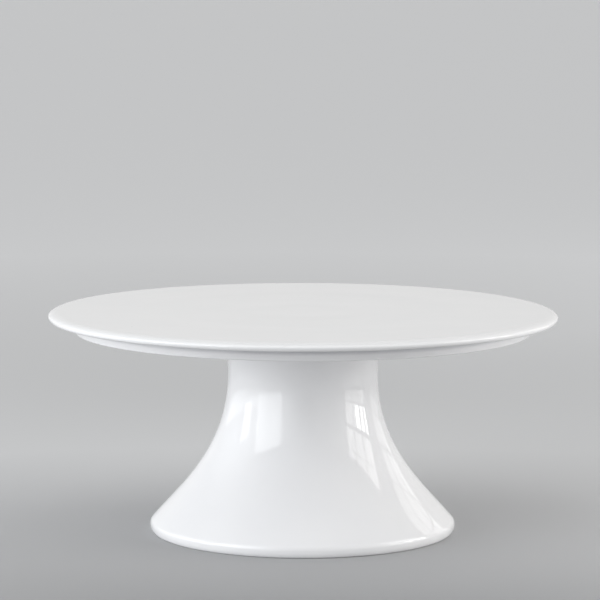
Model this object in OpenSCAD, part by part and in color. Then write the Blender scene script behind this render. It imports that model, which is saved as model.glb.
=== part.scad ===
// Footed cake stand in white glazed porcelain, in two parts that come apart for washing
// and storage. A round plate with a foot ring of its own sits on a hollow trumpet-shaped
// pedestal. A star knob inside the hollow drives an M8 screw up through the pedestal's
// deck into a brass insert potted in the plate, and so clamps the two together.
//
// Frame: millimetres, +Z up, origin on the axis in the plane the stand rests on.
// Every profile below is a list of [radius, height] points that is turned about Z.

/* [Whole stand] */
// Height from the table to the plate's top face
overall_h = 131; // [120:1:160]

/* [Plate] */
// Outside diameter of the plate
plate_d = 300; // [280:5:340]
// Thickness of the plate inside its foot ring
plate_t = 6; // [5.5:0.5:6.5]
// Thickness of the plate at its rounded rim
rim_t = 4.7; // [4:0.1:5]
// Width of the rim's upper rounding, measured along the radius
rim_round_w = 4.7; // [3:0.1:6]
// Depth of the rim's upper rounding
rim_round_h = 2.45; // [1.5:0.05:3]

/* [Foot ring of the plate] */
// Outside diameter of the foot ring at its lower edge
ring_d = 269.2; // [240:0.2:270]
// Distance from the plate's top face down to the ring's contact face
ring_drop = 12; // [12:0.5:14]
// Width of the ring at its contact face
ring_w = 6; // [5:0.5:8]
// Draft of each side of the ring, from its lower edge to the plate
ring_draft = 0.4; // [0:0.1:1]

/* [Pedestal outline] */
// Diameter across the foot
foot_d = 180.8; // [160:0.2:200]
// Radius of the foot's rounded edge, and the height of its widest point
foot_round = 4.4; // [3:0.1:5]
// How far the edge curves in below its widest point
foot_under_w = 2.5; // [1.5:0.1:4]
// Angle of the flank's outward normal above the horizontal, where it meets the foot
foot_angle = 40.5; // [35:0.1:50]
// Length of the flank's tangent at the foot
foot_pull = 23.3; // [15:0.1:35]
// Diameter at the narrowest height
waist_d = 88.6; // [80:0.2:100]
// Height of the narrowest point
waist_z = 94.1; // [85:0.1:98]
// Length of the flank's tangent at the waist
waist_pull = 45.1; // [30:0.1:55]
// Radius of the outward flare above the waist
flare_r = 76; // [72:1:140]

/* [Pedestal body] */
// Wall thickness of the pedestal
wall_t = 5; // [4:0.5:6]
// Thickness of the deck that closes the pedestal's head
deck_t = 6; // [6:0.5:7]
// Diameter of the hole in the middle of the deck
deck_hole_d = 28; // [27.6:0.2:32]
// Width of the flat unglazed ring that touches the table
contact_w = 4; // [3:0.5:6]

/* [Seat and spigot] */
// Thickness of the soft ring between the pedestal's head and the plate
gasket_t = 1; // [1:0.1:1.5]
// Inside diameter of the soft ring
gasket_id = 72; // [60:1:76]
// Outside diameter of the soft ring
gasket_od = 90; // [80:1:92]
// Diameter of the boss under the plate, which centres it in the deck's hole
boss_d = 26; // [24:0.2:26]
// Depth of the boss below the plate's underside
boss_h = 5.5; // [5:0.1:5.5]

/* [Clamp] */
// Diameter of the plain cylinder that stands for the screw's M8 thread
screw_d = 7.8; // [7.6:0.05:7.85]
// Diameter of the insert's plain bore
insert_bore_d = 8; // [8:0.05:8.1]
// Length of the screw under its head
screw_len = 16; // [15:0.25:16]
// Outside diameter of the brass insert
insert_d = 12; // [11:0.5:13]
// Height of the brass insert
insert_h = 8; // [8:0.25:8.5]
// Diameter of the pocket that holds the insert and its cement
pocket_d = 16; // [15:0.5:17]
// Diameter of the rubber cushion washer
cushion_d = 44; // [40:1:48]
// Diameter of the steel clamp washer
washer_d = 40; // [36:1:44]
// Diameter of the knob across its lobes
knob_d = 36; // [32:1:40]
// Height of the knob
knob_h = 14; // [13:0.5:16]
// Number of lobes on the knob
knob_lobes = 6; // [5:1:8]

/* [Hidden] */

$fn = 96;

// Colours
porcelain = [0.95, 0.95, 0.94];
silicone = [0.90, 0.90, 0.88];
brass = [0.80, 0.66, 0.36];
epoxy = [0.78, 0.74, 0.64];
black_rubber = [0.10, 0.10, 0.10];
stainless = [0.75, 0.76, 0.77];
black_nylon = [0.12, 0.12, 0.13];

// Heights, from the top down
under_z = overall_h - plate_t;
head_z = under_z - gasket_t;
ring_z = overall_h - ring_drop;
boss_z = under_z - boss_h;
deck_z = head_z - deck_t;

// Plate
plate_r = plate_d / 2;
ring_r = ring_d / 2;
rim_under_r = rim_t - rim_round_h;
rim_rise = 0.7;
ring_edge = 1;
ring_fillet_out = 1.5;
ring_fillet_in = 3;
boss_r = boss_d / 2;
boss_edge = 0.8;
boss_fillet = 1.5;

// Pedestal
foot_r = foot_d / 2;
waist_r = waist_d / 2;
flare_x = waist_r + flare_r;
head_edge = 1.5;
deck_fillet = 4;
hole_edge = 0.8;
foot_inner_edge = 1.5;
flank_steps = 28;
flare_steps = 10;
contact_in_r = foot_r - foot_under_w - contact_w;
skirt_r = contact_in_r - foot_inner_edge;

// Clamp
insert_collar_h = 2.4;
insert_groove_depth = 0.8;
insert_cap_t = 0.8;
cement_floor_t = 0.5;
cushion_t = 2;
cushion_hole_d = 9;
washer_t = 1.5;
washer_hole_d = 8.4;
screw_head_af = 13;
screw_head_h = 5.3;
screw_tip = 1;
knob_top_z = deck_z - cushion_t - washer_t;
knob_cover_t = 4.2;
screw_head_z = knob_top_z - knob_cover_t - screw_head_h;
screw_tip_z = screw_head_z + screw_head_h + screw_len;
knob_wave = 3;
knob_edge = 2.5;
knob_collar_r = 11;
knob_collar_h = 1.2;
knob_outline_steps = 96;
small = 0.01;

// Points on an arc about c, from angle a0 to angle a1
function arc(c, r, a0, a1, n = 8) =
    [for (i = [0:n]) let (a = a0 + (a1 - a0) * i / n) c + r * [cos(a), sin(a)]];

// A list without its first point, to carry a profile on from the point before it
function onward(points) = [for (i = [1:len(points) - 1]) points[i]];

// Points on a quarter of an ellipse about c, from angle a0 to angle a1
function quarter(c, rx, ry, a0, a1, n = 12) =
    [for (i = [0:n]) let (a = a0 + (a1 - a0) * i / n) c + [rx * cos(a), ry * sin(a)]];

// The pedestal's flank below the waist is one cubic curve between these four points
foot_c = [foot_r - foot_round, foot_round];
flank_a = [waist_r, waist_z];
flank_b = [waist_r, waist_z - waist_pull];
flank_d = foot_c + foot_round * [cos(foot_angle), sin(foot_angle)];
flank_c = flank_d + foot_pull * [-sin(foot_angle), cos(foot_angle)];

function flank_at(t) =
    pow(1 - t, 3) * flank_a + 3 * pow(1 - t, 2) * t * flank_b
    + 3 * (1 - t) * t * t * flank_c + pow(t, 3) * flank_d;

function flank_slope(t) =
    pow(1 - t, 2) * (flank_b - flank_a) + 2 * (1 - t) * t * (flank_c - flank_b)
    + t * t * (flank_d - flank_c);

// The unit vector that points into the wall, square to the flank
function flank_inward(t) =
    let (s = flank_slope(t)) [s.y, -s.x] / norm(s);

// The flank moved into the wall by a depth
function flank(t, depth) = flank_at(t) + depth * flank_inward(t);

// The flare above the waist, moved into the wall by a depth, at an angle above the waist
function flare(a, depth) =
    [flare_x - (flare_r + depth) * cos(a), waist_z + (flare_r + depth) * sin(a)];

// The angles at which the flare ends in the head's edge, and in the fillet under the deck
head_a = asin((head_z - head_edge - waist_z) / (flare_r + head_edge));
deck_a = asin((deck_z - deck_fillet - waist_z) / (flare_r + wall_t + deck_fillet));

function plate_profile() = concat(
    [[0, boss_z], [0, overall_h]],
    quarter([plate_r - rim_round_w, overall_h - rim_round_h], rim_round_w, rim_round_h, 90, 0),
    onward(arc([plate_r - rim_under_r, overall_h - rim_round_h], rim_under_r, 0, -90)),
    arc([ring_r + ring_draft + ring_fillet_out, under_z + rim_rise - ring_fillet_out],
        ring_fillet_out, 90, 180),
    arc([ring_r - ring_edge, ring_z + ring_edge], ring_edge, 0, -90),
    arc([ring_r - ring_w + ring_edge, ring_z + ring_edge], ring_edge, -90, -180),
    arc([ring_r - ring_w - ring_draft - ring_fillet_in, under_z - ring_fillet_in],
        ring_fillet_in, 0, 90),
    arc([boss_r + boss_fillet, under_z - boss_fillet], boss_fillet, 90, 180),
    arc([boss_r - boss_edge, boss_z + boss_edge], boss_edge, 0, -90)
);

function pedestal_profile() = concat(
    // Outside, from the head down to the foot
    arc(flare(head_a, head_edge), head_edge, 90, -head_a),
    [for (i = [flare_steps - 1:-1:1]) flare(head_a * i / flare_steps, 0)],
    [for (i = [0:flank_steps]) flank(i / flank_steps, 0)],
    onward(arc(foot_c, foot_round, foot_angle, 0, 5)),
    onward(quarter([foot_r - foot_under_w, foot_round], foot_under_w, foot_round, 0, -90, 8)),
    // Inside, from the contact ring up to the deck
    arc([contact_in_r, foot_inner_edge], foot_inner_edge, -90, -180),
    [for (i = [flank_steps:-1:0])
        let (p = flank(i / flank_steps, wall_t)) if (p.x < skirt_r - small) p],
    [for (i = [1:flare_steps - 1]) flare(deck_a * i / flare_steps, wall_t)],
    arc(flare(deck_a, wall_t + deck_fillet), deck_fillet, -deck_a, 90),
    // Round the hole in the deck
    arc([deck_hole_d / 2 + hole_edge, deck_z + hole_edge], hole_edge, 270, 180),
    arc([deck_hole_d / 2 + hole_edge, head_z - hole_edge], hole_edge, 180, 90)
);

// Outside of the insert: two collars with a groove between them, for the cement to grip
function insert_profile() =
    let (r = insert_d / 2,
         top = boss_z + insert_h,
         low = boss_z + insert_collar_h,
         high = top - insert_collar_h)
    [[0, boss_z], [r, boss_z], [r, low - insert_groove_depth],
     [r - insert_groove_depth, low], [r - insert_groove_depth, high],
     [r, high + insert_groove_depth], [r, top], [0, top]];

// Outline of the knob seen along its axis: a circle with one soft wave for each lobe
function knob_outline() =
    [for (i = [0:knob_outline_steps - 1])
        let (a = 360 * i / knob_outline_steps,
             r = (knob_d - knob_wave) / 2 + knob_wave / 2 * cos(knob_lobes * a))
        r * [cos(a), sin(a)]];

// Side of the knob: rounded edges, and a raised collar where it meets the washer
function knob_side() =
    let (r = knob_d / 2,
         low = knob_top_z - knob_h,
         high = knob_top_z - knob_collar_h)
    concat([[0, low]],
           arc([r - knob_edge, low + knob_edge], knob_edge, -90, 0),
           arc([r - knob_edge, high - knob_edge], knob_edge, 0, 90),
           [[knob_collar_r, high], [knob_collar_r, knob_top_z], [0, knob_top_z]]);

module turned(profile) {
    rotate_extrude()
        polygon(profile);
}

module disc_washer(outside_d, hole_d, top_z, thickness) {
    translate([0, 0, top_z - thickness])
        difference() {
            cylinder(d = outside_d, h = thickness);
            translate([0, 0, -1])
                cylinder(d = hole_d, h = thickness + 2);
        }
}

// Hexagonal head and shank of the screw, with no tip chamfer
module screw_blank() {
    translate([0, 0, screw_head_z])
        rotate([0, 0, 30])
            cylinder(d = screw_head_af / cos(30), h = screw_head_h, $fn = 6);
    translate([0, 0, screw_head_z])
        cylinder(d = screw_d, h = screw_tip_z - screw_tip - screw_head_z);
}

// Round plate, with its foot ring and the boss that holds the insert
module plate() {
    color(porcelain)
        difference() {
            turned(plate_profile());
            translate([0, 0, boss_z - 1])
                cylinder(d = pocket_d, h = insert_h + cement_floor_t + 1);
        }
}

// Brass insert with a blind bore for the screw
module threaded_insert() {
    color(brass)
        difference() {
            turned(insert_profile());
            translate([0, 0, boss_z - 1])
                cylinder(d = insert_bore_d, h = insert_h - insert_cap_t + 1);
        }
}

// Epoxy that fills the pocket round the insert and over its closed end
module insert_cement() {
    color(epoxy)
        difference() {
            translate([0, 0, boss_z])
                cylinder(d = pocket_d, h = insert_h + cement_floor_t);
            turned(insert_profile());
        }
}

// Hollow trumpet with a deck across its head
module pedestal() {
    color(porcelain)
        turned(pedestal_profile());
}

// Soft ring on the pedestal's head, which keeps porcelain from grinding on porcelain
module seat_gasket() {
    color(silicone)
        disc_washer(gasket_od, gasket_id, under_z, gasket_t);
}

// Rubber washer that bears on the underside of the deck
module cushion_washer() {
    color(black_rubber)
        disc_washer(cushion_d, cushion_hole_d, deck_z, cushion_t);
}

// Wide steel washer that spreads the knob's pressure
module clamp_washer() {
    color(stainless)
        disc_washer(washer_d, washer_hole_d, deck_z - cushion_t, washer_t);
}

// Screw whose head is moulded into the knob
module clamp_screw() {
    color(stainless) {
        screw_blank();
        translate([0, 0, screw_tip_z - screw_tip])
            cylinder(d1 = screw_d, d2 = screw_d - 2 * screw_tip, h = screw_tip);
    }
}

// Star knob moulded round the screw's head
module screw_knob() {
    color(black_nylon)
        difference() {
            intersection() {
                translate([0, 0, knob_top_z - knob_h])
                    linear_extrude(height = knob_h)
                        polygon(knob_outline());
                turned(knob_side());
            }
            screw_blank();
        }
}

plate();
threaded_insert();
insert_cement();
pedestal();
seat_gasket();
cushion_washer();
clamp_washer();
clamp_screw();
screw_knob();
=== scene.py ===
"""Looks for a footed porcelain cake stand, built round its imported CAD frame.

Everything is in metres, +Z up, with the stand's axis on Z and the table at z = 0. Each round piece is
a profile of (radius, height) points turned about Z. The profiles repeat the CAD dimensions with finer
roundings, and the clay's small unevenness is then added to them as real relief.
"""

import math

import bpy
from mathutils import Matrix, Vector, noise


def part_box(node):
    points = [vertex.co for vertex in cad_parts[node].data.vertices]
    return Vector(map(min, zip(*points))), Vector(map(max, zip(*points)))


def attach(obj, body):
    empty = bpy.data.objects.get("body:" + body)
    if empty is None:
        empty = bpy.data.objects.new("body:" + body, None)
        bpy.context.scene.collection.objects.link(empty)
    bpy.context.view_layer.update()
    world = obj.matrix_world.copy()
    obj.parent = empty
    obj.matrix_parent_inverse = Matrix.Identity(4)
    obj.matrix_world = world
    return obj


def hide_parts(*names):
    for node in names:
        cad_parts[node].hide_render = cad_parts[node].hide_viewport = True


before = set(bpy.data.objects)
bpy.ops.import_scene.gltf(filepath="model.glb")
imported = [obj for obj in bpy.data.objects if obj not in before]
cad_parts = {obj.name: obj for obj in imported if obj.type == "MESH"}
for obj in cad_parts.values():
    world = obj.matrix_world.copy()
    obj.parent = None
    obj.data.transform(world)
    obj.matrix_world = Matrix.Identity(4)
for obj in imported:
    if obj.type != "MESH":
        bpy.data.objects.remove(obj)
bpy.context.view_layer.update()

MM = 0.001
SHARP_ANGLE = math.radians(40)
# Within this of the axis a profile's point stays one vertex
ON_AXIS = 0.01 * MM
# Profile points closer than this are the same point
SAME_POINT = 0.005 * MM

# ------------------------------------------------------------------------------------------------
# Dimensions
# ------------------------------------------------------------------------------------------------

plate_low, plate_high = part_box("plate")
pedestal_low, pedestal_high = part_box("pedestal")
cushion_low, cushion_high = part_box("cushion_washer")
washer_low, washer_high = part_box("clamp_washer")
knob_low, knob_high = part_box("screw_knob")
screw_low, screw_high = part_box("clamp_screw")
insert_low, insert_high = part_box("threaded_insert")
cement_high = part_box("insert_cement")[1]
gasket_low, gasket_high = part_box("seat_gasket")

# Plate
PLATE_R = min(plate_high.x, plate_high.y, -plate_low.x, -plate_low.y)
TOP_Z = plate_high.z
RING_Z = plate_low.z
UNDER_Z = gasket_high.z
RIM_T = 4.7 * MM
RIM_ROUND_W = 6.5 * MM
RIM_ROUND_H = 2.45 * MM
RIM_RISE = 0.7 * MM
RING_R = 134.6 * MM
RING_W = 6 * MM
RING_DRAFT = 0.4 * MM
RING_EDGE = 1 * MM
RING_FILLET_OUT = 1.5 * MM
RING_FILLET_IN = 3 * MM
BOSS_R = 13 * MM
BOSS_Z = insert_low.z
BOSS_EDGE = 0.8 * MM
BOSS_FILLET = 1.5 * MM
POCKET_R = cement_high.x
POCKET_Z = cement_high.z

# Pedestal
FOOT_R = min(pedestal_high.x, pedestal_high.y, -pedestal_low.x, -pedestal_low.y)
HEAD_Z = pedestal_high.z
FOOT_ROUND = 4.4 * MM
FOOT_UNDER_W = 2.5 * MM
FOOT_ANGLE = math.radians(40.5)
FOOT_PULL = 23.3 * MM
WAIST_R = 44.3 * MM
WAIST_Z = 94.1 * MM
WAIST_PULL = 45.1 * MM
FLARE_R = 76 * MM
WALL_T = 5 * MM
DECK_Z = cushion_high.z
DECK_HOLE_R = 14 * MM
CONTACT_W = 4 * MM
HEAD_EDGE = 1.5 * MM
DECK_FILLET = 4 * MM
HOLE_EDGE = 0.8 * MM
FOOT_INNER_EDGE = 1.5 * MM

# Clamp
THREAD_PITCH = 1.25 * MM
THREAD_DEPTH = 0.7 * MM
SCREW_R = 3.9 * MM
INSERT_BORE_R = 4 * MM

# ------------------------------------------------------------------------------------------------
# Profiles
# ------------------------------------------------------------------------------------------------

# Steps along the long stretches of the plate's and the pedestal's profiles
TOP_STEPS = 110
UNDER_STEPS = 40
OUTSIDE_STEPS = 64
INSIDE_STEPS = 40
FLARE_STEPS = 18
INNER_FLARE_STEPS = 10


def arc(centre, radius, start, end, steps=10):
    """Points on an arc, from one angle in degrees to another."""
    angles = [math.radians(start + (end - start) * i / steps) for i in range(steps + 1)]
    return [(centre[0] + radius * math.cos(a), centre[1] + radius * math.sin(a)) for a in angles]


def ellipse(centre, across, up, start, end, steps=20):
    """Points on an arc of an ellipse."""
    angles = [math.radians(start + (end - start) * i / steps) for i in range(steps + 1)]
    return [(centre[0] + across * math.cos(a), centre[1] + up * math.sin(a)) for a in angles]


def run(start, end, steps):
    """Points on a straight stretch, without its first and last points."""
    shares = [i / steps for i in range(1, steps)]
    return [tuple(a + (b - a) * s for a, b in zip(start, end)) for s in shares]


def joined(*stretches):
    """One list of points, with doubled points left out."""
    points = []
    for stretch in stretches:
        for p in stretch:
            if not points or math.dist(points[-1], p) > SAME_POINT:
                points.append(p)
    return points


def plate_profile():
    """From the middle of the top, over the rim, and along the underside to the insert's pocket."""
    rim_c = (PLATE_R - RIM_ROUND_W, TOP_Z - RIM_ROUND_H)
    under_r = RIM_T - RIM_ROUND_H
    lip = arc((PLATE_R - under_r, TOP_Z - RIM_ROUND_H), under_r, 0, -90)
    root = arc(
        (RING_R + RING_DRAFT + RING_FILLET_OUT, UNDER_Z + RIM_RISE - RING_FILLET_OUT),
        RING_FILLET_OUT, 90, 180, 8,
    )
    outer_edge = arc((RING_R - RING_EDGE, RING_Z + RING_EDGE), RING_EDGE, 0, -90, 8)
    inner_edge = arc((RING_R - RING_W + RING_EDGE, RING_Z + RING_EDGE), RING_EDGE, -90, -180, 8)
    inner_root = arc(
        (RING_R - RING_W - RING_DRAFT - RING_FILLET_IN, UNDER_Z - RING_FILLET_IN),
        RING_FILLET_IN, 0, 90, 8,
    )
    boss_root = arc((BOSS_R + BOSS_FILLET, UNDER_Z - BOSS_FILLET), BOSS_FILLET, 90, 180, 6)
    boss_edge = arc((BOSS_R - BOSS_EDGE, BOSS_Z + BOSS_EDGE), BOSS_EDGE, 0, -90, 6)
    return joined(
        [(0, TOP_Z)],
        run((0, TOP_Z), (rim_c[0], TOP_Z), TOP_STEPS),
        ellipse(rim_c, RIM_ROUND_W, RIM_ROUND_H, 90, 0, 24),
        lip,
        run(lip[-1], root[0], 8),
        root,
        run(root[-1], outer_edge[0], 5),
        outer_edge,
        run(outer_edge[-1], inner_edge[0], 4),
        inner_edge,
        run(inner_edge[-1], inner_root[0], 3),
        inner_root,
        run(inner_root[-1], boss_root[0], UNDER_STEPS),
        boss_root,
        run(boss_root[-1], boss_edge[0], 3),
        boss_edge,
        [(POCKET_R, BOSS_Z), (POCKET_R, POCKET_Z), (0, POCKET_Z)],
    )


def flank(share, depth):
    """A point on the pedestal's flank, one cubic curve from waist to foot, moved into the wall."""
    foot_c = (FOOT_R - FOOT_ROUND, FOOT_ROUND)
    cos_a, sin_a = math.cos(FOOT_ANGLE), math.sin(FOOT_ANGLE)
    a = Vector((WAIST_R, WAIST_Z))
    b = Vector((WAIST_R, WAIST_Z - WAIST_PULL))
    d = Vector((foot_c[0] + FOOT_ROUND * cos_a, foot_c[1] + FOOT_ROUND * sin_a))
    c = Vector((d.x - FOOT_PULL * sin_a, d.y + FOOT_PULL * cos_a))
    t, u = share, 1 - share
    point = u**3 * a + 3 * u * u * t * b + 3 * u * t * t * c + t**3 * d
    slope = (u * u * (b - a) + 2 * u * t * (c - b) + t * t * (d - c)).normalized()
    return (point.x + depth * slope.y, point.y - depth * slope.x)


def flare(angle, depth):
    """A point on the flare above the waist, moved into the wall."""
    radius = FLARE_R + depth
    return (WAIST_R + FLARE_R - radius * math.cos(angle), WAIST_Z + radius * math.sin(angle))


def pedestal_profile():
    """A closed loop: down the outside from the head, across the foot, up the inside, over the deck."""
    head_a = math.asin((HEAD_Z - HEAD_EDGE - WAIST_Z) / (FLARE_R + HEAD_EDGE))
    deck_a = math.asin((DECK_Z - DECK_FILLET - WAIST_Z) / (FLARE_R + WALL_T + DECK_FILLET))
    foot_c = (FOOT_R - FOOT_ROUND, FOOT_ROUND)
    contact_in = FOOT_R - FOOT_UNDER_W - CONTACT_W
    skirt = contact_in - FOOT_INNER_EDGE
    outside = [flank(i / OUTSIDE_STEPS, 0) for i in range(OUTSIDE_STEPS + 1)]
    inside = [flank(i / INSIDE_STEPS, WALL_T) for i in range(INSIDE_STEPS, -1, -1)]
    inside = [p for p in inside if p[0] < skirt]
    head_edge = arc(flare(head_a, HEAD_EDGE), HEAD_EDGE, 90, -math.degrees(head_a))
    deck_corner = arc(flare(deck_a, WALL_T + DECK_FILLET), DECK_FILLET, -math.degrees(deck_a), 90)
    foot_edge = arc(foot_c, FOOT_ROUND, math.degrees(FOOT_ANGLE), 0, 12)
    foot_under = ellipse((FOOT_R - FOOT_UNDER_W, FOOT_ROUND), FOOT_UNDER_W, FOOT_ROUND, 0, -90, 16)
    inner_edge = arc((contact_in, FOOT_INNER_EDGE), FOOT_INNER_EDGE, -90, -180, 8)
    hole_low = arc((DECK_HOLE_R + HOLE_EDGE, DECK_Z + HOLE_EDGE), HOLE_EDGE, 270, 180, 6)
    hole_high = arc((DECK_HOLE_R + HOLE_EDGE, HEAD_Z - HOLE_EDGE), HOLE_EDGE, 180, 90, 6)
    return joined(
        head_edge,
        [flare(head_a * i / FLARE_STEPS, 0) for i in range(FLARE_STEPS - 1, 0, -1)],
        outside,
        foot_edge,
        foot_under,
        run(foot_under[-1], inner_edge[0], 4),
        inner_edge,
        run(inner_edge[-1], inside[0], 6),
        inside,
        [flare(deck_a * i / INNER_FLARE_STEPS, WALL_T) for i in range(1, INNER_FLARE_STEPS)],
        deck_corner,
        run(deck_corner[-1], hole_low[0], 6),
        hole_low,
        run(hole_low[-1], hole_high[0], 4),
        hole_high,
        run(hole_high[-1], head_edge[0], 12),
    )


def washer_profile(low, high, hole_r, edge, crown=0.0):
    """A closed loop round a flat ring with rounded edges. crown swells its outer side."""
    outer_r = high.x
    inner = hole_r + edge
    outer = outer_r - edge - crown
    side = run((outer_r - crown, low.z + edge), (outer_r - crown, high.z - edge), 6)
    middle = (low.z + high.z) / 2
    half = (high.z - low.z) / 2 - edge
    side = [(r + crown * (1 - ((z - middle) / half) ** 2), z) for r, z in side]
    return joined(
        arc((inner, high.z - edge), edge, 180, 90, 5),
        run((inner, high.z), (outer, high.z), 6),
        arc((outer, high.z - edge), edge, 90, 0, 5),
        reversed(side),
        arc((outer, low.z + edge), edge, 0, -90, 5),
        run((outer, low.z), (inner, low.z), 6),
        arc((inner, low.z + edge), edge, 270, 180, 5),
    )


# ------------------------------------------------------------------------------------------------
# Meshes
# ------------------------------------------------------------------------------------------------


def mesh_object(name, vertices, faces, materials, material_of_face=None):
    """A smooth-shaded mesh object with its materials."""
    mesh = bpy.data.meshes.new(name)
    mesh.from_pydata(vertices, [], faces)
    for m in materials:
        mesh.materials.append(m)
    mesh.polygons.foreach_set("use_smooth", [True] * len(faces))
    if material_of_face:
        mesh.polygons.foreach_set("material_index", material_of_face)
    mesh.set_sharp_from_angle(angle=SHARP_ANGLE)
    mesh.update()
    obj = bpy.data.objects.new(name, mesh)
    bpy.context.scene.collection.objects.link(obj)
    return obj


def lathe(name, profile, segments, materials, closed=False, relief=None, finish=None):
    """Turns a profile about Z. relief moves each vertex, and finish picks a stretch's material."""
    vertices, rings = [], []
    for radius, height in profile:
        count = segments if radius > ON_AXIS else 1
        rings.append((len(vertices), count))
        for k in range(count):
            angle = 2 * math.pi * k / segments
            point = Vector((radius * math.cos(angle), radius * math.sin(angle), height))
            vertices.append(relief(point) if relief else point)
    faces, picks = [], []
    pairs = list(zip(range(len(rings)), range(1, len(rings))))
    if closed:
        pairs.append((len(rings) - 1, 0))
    for i, j in pairs:
        (first, n), (second, m) = rings[i], rings[j]
        pick = finish(profile[i], profile[j]) if finish else 0
        for k in range(segments):
            nxt = (k + 1) % segments
            if n == 1:
                face = (first, second + k, second + nxt)
            elif m == 1:
                face = (first + nxt, first + k, second)
            else:
                face = (first + nxt, first + k, second + k, second + nxt)
            faces.append(face)
            picks.append(pick)
    return mesh_object(name, vertices, faces, materials, picks)


def place(piece, body, slot, *nodes):
    """Rides a piece on its body in place of CAD nodes. slot is not used."""
    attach(piece, body)
    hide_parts(*nodes)


# ------------------------------------------------------------------------------------------------
# Relief: the clay's small unevenness, as geometry
# ------------------------------------------------------------------------------------------------

# Shallow rings left in the plate's top by the jigger's blade: radius, half width and depth
TOP_RINGS = [(30 * MM, 12 * MM, 0.035 * MM), (95 * MM, 14 * MM, 0.035 * MM)]
# How far the plate's edge sinks at the low points of its firing warp
WARP = 0.22 * MM
WARP_LOBES = 3
WARP_TURN = 0.6
# Everything this close under the plate's top counts as its top
TOP_SKIN = 0.2 * MM
# How far from the pedestal's foot and its deck the relief fades in
FOOT_CLEAR = 1 * MM
FOOT_FADE = 12 * MM
DECK_FADE = 10 * MM
# Height and size of the soft lumps in each surface
PLATE_LUMPS = (0.05 * MM, 70 * MM)
PEDESTAL_LUMPS = (0.09 * MM, 26 * MM)
PEDESTAL_RIPPLE = (0.008 * MM, 7 * MM)


def lumps(point, height, size):
    """A soft random height at a point, between 0 and minus the height."""
    return -height * (0.5 + 0.5 * max(-1.0, min(1.0, noise.noise(point / size))))


def plate_relief(point):
    """Rings in the top, a slight warp of the whole edge, and soft lumps. It only ever lowers."""
    radius = math.hypot(point.x, point.y)
    angle = math.atan2(point.y, point.x)
    sink = 0.0
    if point.z > TOP_Z - TOP_SKIN:
        sink -= sum(d * math.exp(-(((radius - r) / w) ** 2)) for r, w, d in TOP_RINGS)
        flat = min(1.0, max(0.0, (RING_R - radius) / (RING_R / 6)))
        sink += flat * lumps(point, *PLATE_LUMPS)
    # The middle stays flat on its seat, and the ground foot ring stays flat on its lower edge
    outward = max(0.0, (radius - gasket_high.x) / (PLATE_R - gasket_high.x)) ** 2
    above = min(1.0, (point.z - RING_Z) / (UNDER_Z - RING_Z))
    sink -= above * outward * WARP * (0.5 + 0.5 * math.cos(WARP_LOBES * angle + WARP_TURN))
    return point + Vector((0, 0, sink))


def pedestal_relief(point):
    """Soft lumps and a faint vertical ripple in the wall, which fade out at the head and foot."""
    radius = math.hypot(point.x, point.y)
    above_foot = max(0.0, point.z - FOOT_CLEAR) / FOOT_FADE
    below_deck = max(0.0, DECK_Z - point.z) / DECK_FADE
    fade = min(1.0, above_foot, below_deck)
    if radius < DECK_HOLE_R + DECK_FILLET or fade == 0.0:
        return point
    shift = lumps(point, *PEDESTAL_LUMPS)
    shift += lumps(Vector((point.x, point.y, point.z / 3)), *PEDESTAL_RIPPLE)
    scale = 1 + fade * shift / radius
    return Vector((point.x * scale, point.y * scale, point.z))


# ------------------------------------------------------------------------------------------------
# Material helpers
# ------------------------------------------------------------------------------------------------


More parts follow.
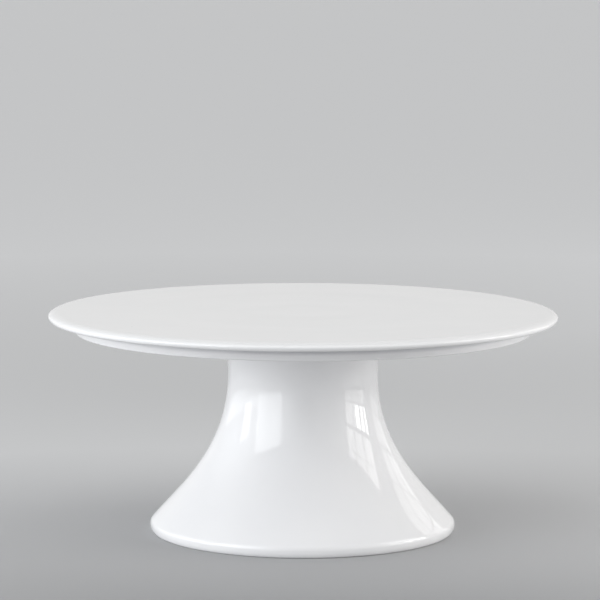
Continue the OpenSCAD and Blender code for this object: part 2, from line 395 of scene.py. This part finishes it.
class Nodes:
    """Builds one node material in a few calls."""

    def __init__(self, name):
        self.material = bpy.data.materials.new(name)
        self.material.use_nodes = True
        self.tree = self.material.node_tree
        self.shader = self.tree.nodes["Principled BSDF"]

    def add(self, kind, **settings):
        node = self.tree.nodes.new(kind)
        for key, value in settings.items():
            setattr(node, key, value)
        return node

    def link(self, output, target):
        self.tree.links.new(output, target)

    def place(self, scale=(1, 1, 1)):
        """The piece's own coordinates in metres, stretched."""
        coords = self.add("ShaderNodeTexCoord")
        mapping = self.add("ShaderNodeMapping")
        mapping.inputs["Scale"].default_value = scale
        self.link(coords.outputs["Object"], mapping.inputs["Vector"])
        return mapping.outputs["Vector"]

    def noise(self, size, detail=2.0, scale=(1, 1, 1)):
        """Noise from 0 to 1, with lumps of a size in metres."""
        tex = self.add("ShaderNodeTexNoise")
        tex.inputs["Scale"].default_value = 1 / size
        tex.inputs["Detail"].default_value = detail
        self.link(self.place(scale), tex.inputs["Vector"])
        return tex.outputs["Fac"]

    def between(self, value, low, high, start=0.3, end=0.7):
        """Carries a value from start..end to low..high."""
        span = self.add("ShaderNodeMapRange", clamp=True)
        self.link(value, span.inputs["Value"])
        for key, number in zip(("From Min", "From Max", "To Min", "To Max"), (start, end, low, high)):
            span.inputs[key].default_value = number
        return span.outputs["Result"]

    def mix(self, share, first, second):
        """Mixes two colours, each a tuple or a socket."""
        node = self.add("ShaderNodeMix", data_type="RGBA")
        self.link(share, node.inputs["Factor"])
        for socket, colour in ((node.inputs[6], first), (node.inputs[7], second)):
            if isinstance(colour, tuple):
                socket.default_value = (*colour, 1)
            else:
                self.link(colour, socket)
        return node.outputs[2]

    def cloudy(self, tones, size, detail):
        """A colour that drifts between a dark and a light tone, in clouds of a size."""
        return self.mix(self.between(self.noise(size, detail), 0, 1), *tones)

    def times(self, first, second):
        """The product of two values."""
        node = self.add("ShaderNodeMath", operation="MULTIPLY")
        self.link(first, node.inputs[0])
        self.link(second, node.inputs[1])
        return node.outputs["Value"]

    def distance(self, point, centre):
        """How far a point is from a fixed centre."""
        node = self.add("ShaderNodeVectorMath", operation="DISTANCE")
        self.link(point, node.inputs[0])
        node.inputs[1].default_value = centre
        return node.outputs["Value"]

    def bump(self, height, depth, under=None):
        """A bump from a height of 0 to 1, that is depth metres deep."""
        node = self.add("ShaderNodeBump")
        node.inputs["Strength"].default_value = 1
        node.inputs["Distance"].default_value = depth
        self.link(height, node.inputs["Height"])
        if under:
            self.link(under, node.inputs["Normal"])
        return node.outputs["Normal"]

    def finish(self, colour=None, roughness=None, normal=None, **fixed):
        """Links the shader's inputs, and sets its fixed ones."""
        for key, socket in (("Base Color", colour), ("Roughness", roughness), ("Normal", normal)):
            if socket is not None:
                self.link(socket, self.shader.inputs[key])
        for key, value in fixed.items():
            self.shader.inputs[key.replace("_", " ")].default_value = value
        return self.material


# Dark and light tone of each material
GLAZE = ((0.869, 0.869, 0.879), (0.889, 0.887, 0.893))
BISQUE = ((0.70, 0.68, 0.64), (0.80, 0.78, 0.75))
WASHER_STEEL = ((0.47, 0.47, 0.48), (0.62, 0.62, 0.63))
SCREW_STEEL = ((0.42, 0.42, 0.43), (0.60, 0.60, 0.61))
BRASS = ((0.52, 0.36, 0.13), (0.74, 0.55, 0.24))
SILICONE = ((0.62, 0.63, 0.62), (0.74, 0.75, 0.74))
RUBBER = ((0.016, 0.016, 0.016), (0.040, 0.039, 0.037))
NYLON = ((0.012, 0.012, 0.013), (0.024, 0.024, 0.026))
EPOXY = ((0.50, 0.44, 0.31), (0.62, 0.56, 0.42))

# Glaze: tone of the painted shade in the corner under the rim, tone in a speck, and the size and depth
# of its two surface waves
PAINTED_CORNER_SHADE = (0.62, 0.62, 0.65)
SPECK = (0.30, 0.29, 0.28)
GLAZE_IOR = 1.52
PEEL = (2.2 * MM, 0.003 * MM)
SWELL = (9 * MM, 0.008 * MM)
# Distances from the corner at which the painted corner shade starts to fade, and ends
CORNER_SHADE_FULL = 0.8 * MM
CORNER_SHADE_END = 3.5 * MM

# Size of the cells that may each hold one speck, a speck's radius, the share of it that is fully dark,
# the share of empty cells, and how level a face must be to show specks
SPECK_CELL = 30 * MM
SPECK_R = 0.35 * MM
SPECK_CORE = 0.6
SPECK_EMPTY = 0.72
SPECK_LEVEL = (0.95, 0.98)

BUBBLE_CELL = 1.1 * MM
BUBBLE_EDGE = (0.08, 0.22)


def pinholes(n):
    """1 at a few tiny specks on faces that look up, and 0 elsewhere."""
    cells = n.add("ShaderNodeTexVoronoi", voronoi_dimensions="2D")
    cells.inputs["Scale"].default_value = 1 / SPECK_CELL
    n.link(n.place(), cells.inputs["Vector"])
    edge = (SPECK_CORE * SPECK_R / SPECK_CELL, SPECK_R / SPECK_CELL)
    near = n.between(cells.outputs["Distance"], 1, 0, *edge)
    channels = n.add("ShaderNodeSeparateColor")
    n.link(cells.outputs["Color"], channels.inputs["Color"])
    chosen = n.between(channels.outputs["Red"], 0, 1, SPECK_EMPTY, SPECK_EMPTY + 0.01)
    normal = n.add("ShaderNodeSeparateXYZ")
    n.link(n.add("ShaderNodeNewGeometry").outputs["Normal"], normal.inputs["Vector"])
    up = n.between(normal.outputs["Z"], 0, 1, *SPECK_LEVEL)
    return n.times(n.times(near, chosen), up)


def corner_shade_mask(n, corner):
    """1 in a ring-shaped corner, given as (radius, height), where shade is painted into the glaze, and 0
    beyond.
    """
    flat = n.add("ShaderNodeVectorMath", operation="MULTIPLY")
    n.link(n.place(), flat.inputs[0])
    flat.inputs[1].default_value = (1, 1, 0)
    radius = n.add("ShaderNodeVectorMath", operation="LENGTH")
    n.link(flat.outputs["Vector"], radius.inputs[0])
    height = n.add("ShaderNodeSeparateXYZ")
    n.link(n.place(), height.inputs["Vector"])
    section = n.add("ShaderNodeCombineXYZ")
    n.link(radius.outputs["Value"], section.inputs["X"])
    n.link(height.outputs["Z"], section.inputs["Y"])
    reach = n.distance(section.outputs["Vector"], (*corner, 0))
    return n.between(reach, 1, 0, CORNER_SHADE_FULL, CORNER_SHADE_END)


def glaze(name, specks=False, corner=None):
    """Clear glaze over white porcelain: a little cloudy in tone, with a faint orange-peel surface."""
    n = Nodes(name)
    colour = n.cloudy(GLAZE, 45 * MM, 3)
    # Painted shade: the glaze turns darker towards the corner under the rim, where shade falls
    if corner:
        colour = n.mix(corner_shade_mask(n, corner), colour, PAINTED_CORNER_SHADE)
    peel = n.bump(n.noise(PEEL[0], 1), PEEL[1])
    normal = n.bump(n.noise(SWELL[0], 1), SWELL[1], under=peel)
    roughness = n.between(n.noise(20 * MM, 3), 0.015, 0.035)
    if specks:
        colour = n.mix(pinholes(n), colour, SPECK)
    return n.finish(colour, roughness, normal, IOR=GLAZE_IOR)


def bisque(name):
    """Bare fired clay, ground flat where a piece stands."""
    n = Nodes(name)
    grit = n.bump(n.noise(0.5 * MM, 3), 0.06 * MM)
    return n.finish(n.cloudy(BISQUE, 6 * MM, 4), n.between(n.noise(3 * MM, 2), 0.72, 0.9), grit)


def steel(name, tones, grain=(1, 1, 1)):
    """Tumbled stainless steel with faint scuffs. grain stretches the scuffs."""
    n = Nodes(name)
    colour = n.cloudy(tones, 5 * MM, 4)
    scuff = n.noise(1.6 * MM, 4, grain)
    roughness = n.between(scuff, 0.24, 0.42)
    return n.finish(colour, roughness, n.bump(scuff, 0.01 * MM), Metallic=1.0)


def brass(name):
    """Turned brass, slightly dulled."""
    n = Nodes(name)
    colour = n.cloudy(BRASS, 4 * MM, 4)
    lines = n.noise(0.8 * MM, 2, (0.2, 0.2, 6))
    return n.finish(colour, n.between(lines, 0.22, 0.4), n.bump(lines, 0.01 * MM), Metallic=1.0)


def soft_rubber(name, tones, roughness):
    """Moulded rubber with a fine matt grain and a dusty bloom."""
    n = Nodes(name)
    colour = n.cloudy(tones, 7 * MM, 4)
    grain = n.bump(n.noise(0.4 * MM, 2), 0.03 * MM)
    return n.finish(colour, n.between(n.noise(3 * MM, 3), roughness - 0.08, roughness + 0.08), grain)


def nylon(name):
    """Moulded black nylon: spark-eroded grain, polished a little by hands on the lobes."""
    n = Nodes(name)
    colour = n.cloudy(NYLON, 9 * MM, 3)
    grain = n.noise(0.35 * MM, 2)
    roughness = n.between(n.noise(12 * MM, 3), 0.38, 0.58)
    return n.finish(colour, roughness, n.bump(grain, 0.05 * MM))


def cast_epoxy(name):
    """Filled epoxy, poured and cured, with small bubbles."""
    n = Nodes(name)
    colour = n.cloudy(EPOXY, 3 * MM, 4)
    bubbles = n.add("ShaderNodeTexVoronoi")
    bubbles.inputs["Scale"].default_value = 1 / BUBBLE_CELL
    n.link(n.place(), bubbles.inputs["Vector"])
    pits = n.between(bubbles.outputs["Distance"], 0, 1, *BUBBLE_EDGE)
    return n.finish(colour, n.between(n.noise(2 * MM, 2), 0.3, 0.5), n.bump(pits, 0.08 * MM))


# ------------------------------------------------------------------------------------------------
# Porcelain
# ------------------------------------------------------------------------------------------------

PORCELAIN_SEGMENTS = 360
GLAZED = 0
BARE = 1
# How far up the grinding of a foot ring leaves the clay bare
BARE_RISE = 0.15 * MM
bare_clay = bisque("bare_clay")


def bare_below(height):
    """Picks bare clay for the stretch of a profile that lies flat at a height."""
    return lambda a, b: BARE if max(a[1], b[1]) < height + BARE_RISE else GLAZED


# Shade is painted into the glaze in the corner between the rim's underside and the plate's foot ring
RING_CORNER = (RING_R + RING_DRAFT, UNDER_Z + RIM_RISE)
plate_glaze = glaze("plate_glaze", specks=True, corner=RING_CORNER)
plate = lathe(
    "glazed_plate", plate_profile(), PORCELAIN_SEGMENTS, [plate_glaze, bare_clay],
    relief=plate_relief, finish=bare_below(RING_Z),
)
place(plate, "plate", "plate_glaze", "plate")

pedestal = lathe(
    "glazed_pedestal", pedestal_profile(), PORCELAIN_SEGMENTS, [glaze("pedestal_glaze"), bare_clay],
    closed=True, relief=pedestal_relief, finish=bare_below(0),
)
place(pedestal, "pedestal", "pedestal_glaze", "pedestal")

# ------------------------------------------------------------------------------------------------
# Clamp hardware
# ------------------------------------------------------------------------------------------------

# Segments round each turned piece
GASKET_SEGMENTS = 192
WASHER_SEGMENTS = 160
SCREW_SEGMENTS = 96
INSERT_SEGMENTS = 240
CEMENT_SEGMENTS = 160
KNOB_SEGMENTS = 240

# Holes and rounded edges of the flat rings
GASKET_HOLE_R = 36 * MM
GASKET_EDGE = 0.35 * MM
CUSHION_HOLE_R = 4.5 * MM
CUSHION_CROWN = 0.25 * MM
WASHER_HOLE_R = 4.2 * MM
WASHER_EDGE = 0.3 * MM

gasket = lathe(
    "seat_ring", washer_profile(gasket_low, gasket_high, GASKET_HOLE_R, GASKET_EDGE), GASKET_SEGMENTS,
    [soft_rubber("white_silicone", SILICONE, 0.5)], closed=True,
)
place(gasket, "pedestal", "silicone", "seat_gasket")

cushion = lathe(
    "rubber_cushion",
    washer_profile(cushion_low, cushion_high, CUSHION_HOLE_R, WASHER_EDGE, CUSHION_CROWN),
    WASHER_SEGMENTS,
    [soft_rubber("black_rubber", RUBBER, 0.7)], closed=True,
)
place(cushion, "washers", "black_rubber", "cushion_washer")

washer = lathe(
    "steel_washer", washer_profile(washer_low, washer_high, WASHER_HOLE_R, WASHER_EDGE), WASHER_SEGMENTS,
    [steel("washer_steel", WASHER_STEEL)], closed=True,
)
place(washer, "washers", "washer_steel", "clamp_washer")

# Shares of a half turn of thread that its flat crest and its sloping flank take up
CREST_SHARE = 0.12
FLANK_SHARE = 0.74


def thread_wave(point):
    """0 on the crest of the right-hand M8 thread, and 1 in its root."""
    turn = (point.z - screw_high.z) / THREAD_PITCH - math.atan2(point.y, point.x) / (2 * math.pi)
    saw = abs(2 * (turn % 1.0) - 1)
    return min(1.0, max(0.0, (1 - saw - CREST_SHARE) / FLANK_SHARE))


def with_radius(point, radius):
    """The point moved square to the axis, to a radius."""
    now = math.hypot(point.x, point.y)
    return Vector((point.x * radius / now, point.y * radius / now, point.z))


HEAD_AF = 13 * MM
HEAD_H = 5.3 * MM
HEAD_TOP = screw_low.z + HEAD_H
HEAD_CORNER_R = HEAD_AF / 2 / math.cos(math.pi / 6)
HEAD_CHAMFER_W = 1.1 * MM
HEAD_CHAMFER_H = 0.6 * MM
TIP_CHAMFER = 1 * MM
# Slack when a vertex is told apart by its radius, and by its height
NEAR = 0.05 * MM
LEVEL = 0.001 * MM


def screw_relief(point):
    """Makes the head of the turned blank hexagonal, and cuts the thread in its shank."""
    radius = math.hypot(point.x, point.y)
    if point.z <= HEAD_TOP + LEVEL and radius > SCREW_R + NEAR:
        angle = (math.atan2(point.y, point.x) + math.pi / 6) % (math.pi / 3) - math.pi / 6
        return with_radius(point, min(radius, HEAD_AF / 2 / math.cos(angle)))
    if point.z > HEAD_TOP and radius > SCREW_R - TIP_CHAMFER + NEAR:
        runout = min(1.0, (point.z - HEAD_TOP) / THREAD_PITCH)
        cut = SCREW_R - THREAD_DEPTH * runout * thread_wave(point)
        return with_radius(point, min(radius, cut))
    return point


def screw_profile():
    """The blank: a head with both its rims chamfered, and a shank with a chamfered tip."""
    corner, drop = HEAD_CORNER_R, HEAD_CHAMFER_H
    flat = corner - HEAD_CHAMFER_W
    shank = (SCREW_R, HEAD_TOP)
    shoulder = (SCREW_R, screw_high.z - TIP_CHAMFER)
    return joined(
        [(0, screw_low.z), (flat, screw_low.z), (corner, screw_low.z + drop)],
        run((corner, screw_low.z + drop), (corner, HEAD_TOP - drop), 4),
        [(corner, HEAD_TOP - drop), (flat, HEAD_TOP), shank],
        run(shank, shoulder, 240),
        [shoulder],
        run(shoulder, (SCREW_R - TIP_CHAMFER, screw_high.z), 14),
        [(SCREW_R - TIP_CHAMFER, screw_high.z), (0, screw_high.z)],
    )


screw = lathe(
    "threaded_screw", screw_profile(), SCREW_SEGMENTS,
    [steel("screw_steel", SCREW_STEEL, grain=(1, 1, 0.3))], relief=screw_relief,
)
place(screw, "thumb_screw", "screw_steel", "clamp_screw")

# Insert: knurled collars outside, and a thread inside that the screw's thread runs in
INSERT_GROOVE = 0.8 * MM
INSERT_COLLAR_H = 2.4 * MM
INSERT_EDGE = 0.3 * MM
INSERT_MOUTH = 0.5 * MM
INSERT_END_T = 0.8 * MM
INSERT_BORE_Z = insert_high.z - INSERT_END_T
DRILL_POINT = 0.3 * MM
KNURLS = 40
KNURL_DEPTH = 0.28 * MM


def insert_outside():
    """The insert's outside, from its open end up to the middle of its closed end."""
    r, low, high = insert_high.x, insert_low.z, insert_high.z
    collar_top = low + INSERT_COLLAR_H
    collar_foot = high - INSERT_COLLAR_H
    edge = INSERT_EDGE
    return joined(
        [(r - edge, low), (r, low + edge)],
        run((r, low + edge), (r, collar_top - INSERT_GROOVE), 10),
        [(r, collar_top - INSERT_GROOVE), (r - INSERT_GROOVE, collar_top)],
        run((r - INSERT_GROOVE, collar_top), (r - INSERT_GROOVE, collar_foot), 4),
        [(r - INSERT_GROOVE, collar_foot), (r, collar_foot + INSERT_GROOVE)],
        run((r, collar_foot + INSERT_GROOVE), (r, high - edge), 10),
        [(r, high - edge), (r - edge, high), (0, high)],
    )


def insert_profile():
    """From the top of the blind bore, down the thread, round the open end and up the outside."""
    start = (INSERT_BORE_R, INSERT_BORE_Z)
    end = (INSERT_BORE_R, insert_low.z + INSERT_MOUTH)
    return joined(
        [(0, INSERT_BORE_Z + DRILL_POINT), start],
        run(start, end, 110),
        [end, (INSERT_BORE_R + INSERT_MOUTH, insert_low.z)],
        insert_outside(),
    )


def insert_relief(point):
    """Cuts the thread in the bore and the diamond knurl on the collars."""
    radius = math.hypot(point.x, point.y)
    if abs(radius - INSERT_BORE_R) < NEAR:
        runout = min(1.0, max(0.0, (point.z - insert_low.z) / THREAD_PITCH))
        return with_radius(point, INSERT_BORE_R - THREAD_DEPTH * runout * thread_wave(point))
    if radius > insert_high.x - NEAR:
        angle = math.atan2(point.y, point.x) * KNURLS
        climb = point.z * KNURLS / insert_high.x
        groove = max(math.cos(angle + climb), math.cos(angle - climb))
        return with_radius(point, radius - KNURL_DEPTH * (0.5 + 0.5 * groove))
    return point


insert = lathe(
    "brass_insert", insert_profile(), INSERT_SEGMENTS, [brass("insert_brass")], relief=insert_relief
)
place(insert, "plate", "insert_brass", "threaded_insert")

CEMENT_SAG = 0.35 * MM
CEMENT_GAP = 0.02 * MM


def cement_profile():
    """The pocket's filling: over the insert's closed end, down the pocket's wall, and a meniscus."""
    mouth_z, outer = insert_low.z, POCKET_R - CEMENT_GAP
    width = outer - insert_high.x
    steps = 10
    sag = [
        (outer - width * i / steps, mouth_z + CEMENT_SAG * math.sin(math.pi * i / steps))
        for i in range(steps + 1)
    ]
    around = [p for p in insert_outside() if p[1] > mouth_z]
    return joined([(0, POCKET_Z), (outer, POCKET_Z)], sag, around)


cement = lathe("potting_cement", cement_profile(), CEMENT_SEGMENTS, [cast_epoxy("epoxy")])
place(cement, "plate", "epoxy", "insert_cement")

# Knob: a lobed grip with a dished end, a collar, and a pocket for the screw's head
KNOB_R = max(knob_high.x, knob_high.y)
KNOB_LOBES = 6
KNOB_WAVE = 3 * MM
KNOB_COLLAR_R = 11 * MM
KNOB_COLLAR_H = 1.2 * MM
KNOB_COLLAR_EDGE = 0.35 * MM
KNOB_EDGE = 2.5 * MM
KNOB_BORE_EDGE = 0.3 * MM
DISH_R = 9.5 * MM
DISH_DEPTH = 0.9 * MM
DISH_BLEND = 0.8 * MM


def knob_relief(point):
    """Waves the grip in and out, one wave for each lobe, and leaves its middle round."""
    radius = math.hypot(point.x, point.y)
    if radius < ON_AXIS:
        return point
    angle = math.atan2(point.y, point.x)
    edge = KNOB_R - KNOB_WAVE / 2 + KNOB_WAVE / 2 * math.cos(KNOB_LOBES * angle)
    share = min(1.0, max(0.0, (radius - KNOB_COLLAR_R) / (KNOB_R - KNOB_EDGE - KNOB_COLLAR_R)))
    share = share * share * (3 - 2 * share)
    return with_radius(point, radius * (1 + share * (edge / KNOB_R - 1)))


def knob_profile():
    """From the middle of the dished end, round the grip, over the collar and into the bore."""
    low, top = knob_low.z, knob_high.z
    shelf = top - KNOB_COLLAR_H
    grip = KNOB_R - KNOB_EDGE
    collar_edge, bore_edge = KNOB_COLLAR_EDGE, KNOB_BORE_EDGE
    dish_wall = []
    for i in range(13):
        depth = DISH_DEPTH * (0.5 + 0.5 * math.cos(math.pi * i / 12))
        dish_wall.append((DISH_R - DISH_BLEND + 2 * DISH_BLEND * i / 12, low + depth))
    foot = arc((grip, low + KNOB_EDGE), KNOB_EDGE, -90, 0, 14)
    brow = arc((grip, shelf - KNOB_EDGE), KNOB_EDGE, 0, 90, 14)
    root = arc((KNOB_COLLAR_R + collar_edge, shelf + collar_edge), collar_edge, -90, -180, 5)
    edge = arc((KNOB_COLLAR_R - collar_edge, top - collar_edge), collar_edge, 0, 90, 5)
    return joined(
        [(0, low + DISH_DEPTH)],
        run((0, low + DISH_DEPTH), dish_wall[0], 10),
        dish_wall,
        run(dish_wall[-1], foot[0], 8),
        foot,
        run(foot[-1], brow[0], 12),
        brow,
        run(brow[-1], root[0], 8),
        root,
        edge,
        run(edge[-1], (SCREW_R + bore_edge, top), 6),
        [(SCREW_R + bore_edge, top), (SCREW_R, top - bore_edge), (SCREW_R, HEAD_TOP)],
        [(HEAD_CORNER_R, HEAD_TOP), (HEAD_CORNER_R, screw_low.z), (0, screw_low.z)],
    )


knob = lathe("star_knob", knob_profile(), KNOB_SEGMENTS, [nylon("knob_nylon")], relief=knob_relief)
place(knob, "thumb_screw", "knob_plastic", "screw_knob")

# ------------------------------------------------------------------------------------------------
# Studio
# ------------------------------------------------------------------------------------------------

FLOOR_R = 14.0
FLOOR_PALE = (0.790, 0.795, 0.805)
FLOOR_ROUGHNESS = 0.75
# Softly darker patches behind the stand, in front of it and below the windows: centre, radius, tone. The
# patch below the windows is painted shade that evens out the pool of light the window lights throw on
# the floor.
SHADES = [
    ((0, 0.55, 0), 1.05, (0.580, 0.584, 0.590)),
    ((0, -0.42, 0), 0.72, (0.190, 0.191, 0.195)),
    ((0, -1.05, 0), 0.80, (0.190, 0.191, 0.195)),
    # Painted shade: darker floor where the window lights throw their pool of light
    ((1.0, 0.35, 0), 0.95, (0.400, 0.402, 0.405)),
]


def studio_floor():
    """A wide round floor in plain pale grey, a little darker in soft patches."""
    steps = 64
    angles = [2 * math.pi * k / steps for k in range(steps)]
    ring = [(FLOOR_R * math.cos(a), FLOOR_R * math.sin(a), 0) for a in angles]
    n = Nodes("floor_paint")
    tone = FLOOR_PALE
    for centre, radius, shade in SHADES:
        away = n.distance(n.place(), centre)
        tone = n.mix(n.between(away, 0, 1, 0, radius), shade, tone)
    paint = n.finish(tone, Roughness=FLOOR_ROUGHNESS)
    return mesh_object("studio_floor", ring, [tuple(range(steps))], [paint])


studio_floor()


def area_light(name, place_at, size, power, colour, turn):
    """A rectangle of light that shines along turn and that the camera does not see."""
    light = bpy.data.lights.new(name, "AREA")
    light.shape = "RECTANGLE"
    light.size, light.size_y = size
    light.energy = power
    light.color = colour
    obj = bpy.data.objects.new(name, light)
    obj.location = place_at
    obj.rotation_euler = Vector(turn).to_track_quat("-Z", "Y").to_euler()
    obj.visible_camera = False
    bpy.context.scene.collection.objects.link(obj)


COOL = (0.96, 0.98, 1.0)
NEUTRAL = (1.0, 0.995, 0.985)

# Right: two tall sash windows in one wall, three panes wide and four rows high. The thicker meeting
# rail lies between the second row and the third. Each window: its name, its start and its brightness.
WALL_AT = 1.0
WALL_TURN = math.radians(-3.6)
PANE_W = 0.2275
BAR = 0.024
ROWS = [(0.025, 0.118), (0.136, 0.355), (0.400, 0.660), (0.678, 0.91)]
WINDOWS = [("near", -0.393, 1.0), ("far", 0.630, 0.43)]
PANE_POWER = 8.0
LOW_ROW_SHARE = 0.65
# Bright streaks of sky in the near window's second row
SKY_POWER = 19.0
SKY_STREAKS = [(-0.075, 0.035), (0.085, 0.155), (0.235, 0.276)]
SKY_ROW = (0.145, 0.35)
SKY_PROUD = 0.01


def on_wall(along, up, proud=0.0):
    """A point of the window wall, at a distance along it and a height. proud lies in front of it."""
    return Matrix.Rotation(WALL_TURN, 3, "Z") @ Vector((WALL_AT - proud, along, up))


def wall_light(name, low, high, power, proud=0.0):
    """A rectangle of light on the window wall, from corner to corner. power is for a square metre."""
    where = on_wall((low[0] + high[0]) / 2, (low[1] + high[1]) / 2, proud)
    size = (high[0] - low[0], high[1] - low[1])
    area_light(name, where, size, power * size[0] * size[1], NEUTRAL, -on_wall(0, 0))


for window, start, share in WINDOWS:
    for column in range(3):
        left = start + PANE_W * column + BAR / 2
        right = start + PANE_W * (column + 1) - BAR / 2
        for row, (low, high) in enumerate(ROWS):
            power = PANE_POWER * share * (LOW_ROW_SHARE if row == 0 else 1)
            wall_light(f"{window}_pane_{column}_{row}", (left, low), (right, high), power)
for k, (left, right) in enumerate(SKY_STREAKS):
    wall_light(f"near_sky_{k}", (left, SKY_ROW[0]), (right, SKY_ROW[1]), SKY_POWER, SKY_PROUD)

# Left: a broad soft panel in front, a narrow strip beside the stand, and a long low card.
# Each has a name, a centre, a size, a power and the direction it shines in.
LEFT_LIGHTS = [
    ("left_panel", (-0.843, -0.707, 0.42), (0.75, 0.76), 3.6, (0.843, 0.707, 0)),
    ("left_strip", (-1.0, -0.060, 0.290), (0.22, 0.33), 0.60, (1, 0, 0)),
    ("left_card", (-0.78, 0.22, 0.095), (1.10, 0.12), 0.45, (1, 0, 0)),
]
for name, centre, size, power, turn in LEFT_LIGHTS:
    area_light(name, centre, size, power, COOL, turn)

# The air round the stand: soft lobes of light. Azimuth is 0 in front and 90 on the right.
# Each has a name, an azimuth, an elevation, its inner and outer angle, a strength and a colour.
AIR = [
    ("all", 0, 90, 180, 180, 0.06, NEUTRAL),
    ("top_front", 0, 72, 5, 38, 0.94, NEUTRAL),
    ("back", 180, 10, 15, 60, 0.58, NEUTRAL),
    ("left", -95, 0, 5, 45, 0.96, COOL),
    ("left_front", -50, 0, 5, 45, 1.50, COOL),
    ("left_front_high", -50, 30, 10, 60, 0.56, COOL),
    ("left_back", -135, 10, 15, 60, 0.22, COOL),
    ("right_front", 50, 5, 5, 45, 0.74, NEUTRAL),
    ("right", 90, 0, 5, 45, 0.76, NEUTRAL),
    ("right_high", 90, 30, 10, 60, 0.28, NEUTRAL),
    ("right_back", 135, 10, 15, 60, 0.05, NEUTRAL),
]


# Keeps the two ends of a lobe's edge apart, even where it reaches all round
LOBE_GAP = 0.001


def soft_air(lobes):
    """A world that is the sum of soft lobes of light, each round a direction."""
    world = bpy.data.worlds.new("studio_air")
    world.use_nodes = True
    nodes, links = world.node_tree.nodes, world.node_tree.links
    direction = nodes.new("ShaderNodeTexCoord").outputs["Generated"]
    total = None
    for name, azimuth, elevation, inner, outer, strength, colour in lobes:
        across, up = math.radians(azimuth), math.radians(elevation)
        axis = (math.cos(up) * math.sin(across), -math.cos(up) * math.cos(across), math.sin(up))
        facing = nodes.new("ShaderNodeVectorMath")
        facing.operation = "DOT_PRODUCT"
        facing.inputs[1].default_value = axis
        links.new(direction, facing.inputs[0])
        edge = nodes.new("ShaderNodeMapRange")
        edge.name = name
        edge.interpolation_type = "SMOOTHSTEP"
        edge.inputs["From Min"].default_value = math.cos(math.radians(outer)) - LOBE_GAP
        edge.inputs["From Max"].default_value = math.cos(math.radians(inner))
        edge.inputs["To Max"].default_value = strength
        links.new(facing.outputs["Value"], edge.inputs["Value"])
        tint = nodes.new("ShaderNodeVectorMath")
        tint.operation = "SCALE"
        tint.inputs[0].default_value = colour
        links.new(edge.outputs["Result"], tint.inputs["Scale"])
        if total is None:
            total = tint.outputs["Vector"]
            continue
        both = nodes.new("ShaderNodeVectorMath")
        both.operation = "ADD"
        links.new(total, both.inputs[0])
        links.new(tint.outputs["Vector"], both.inputs[1])
        total = both.outputs["Vector"]
    links.new(total, nodes["Background"].inputs["Color"])
    return world


bpy.context.scene.world = soft_air(AIR)
bpy.context.scene.view_settings.view_transform = "Standard"

# Camera: a long lens in front of the stand, above its plate and tipped down 6.8 degrees
CAMERA_AT = (-0.0025, -1.850, 0.3564)
CAMERA_LENS = 189.6
CAMERA_SENSOR = 36
CAMERA_TIP = 0.118
CAMERA_ROLL = -0.003

camera_data = bpy.data.cameras.new("camera")
camera_data.sensor_width = CAMERA_SENSOR
camera_data.lens = CAMERA_LENS
camera_data.dof.use_dof = False
camera = bpy.data.objects.new("camera", camera_data)
camera.location = CAMERA_AT
camera.rotation_euler = (math.pi / 2 - CAMERA_TIP, CAMERA_ROLL, 0)
bpy.context.scene.collection.objects.link(camera)
bpy.context.scene.camera = camera
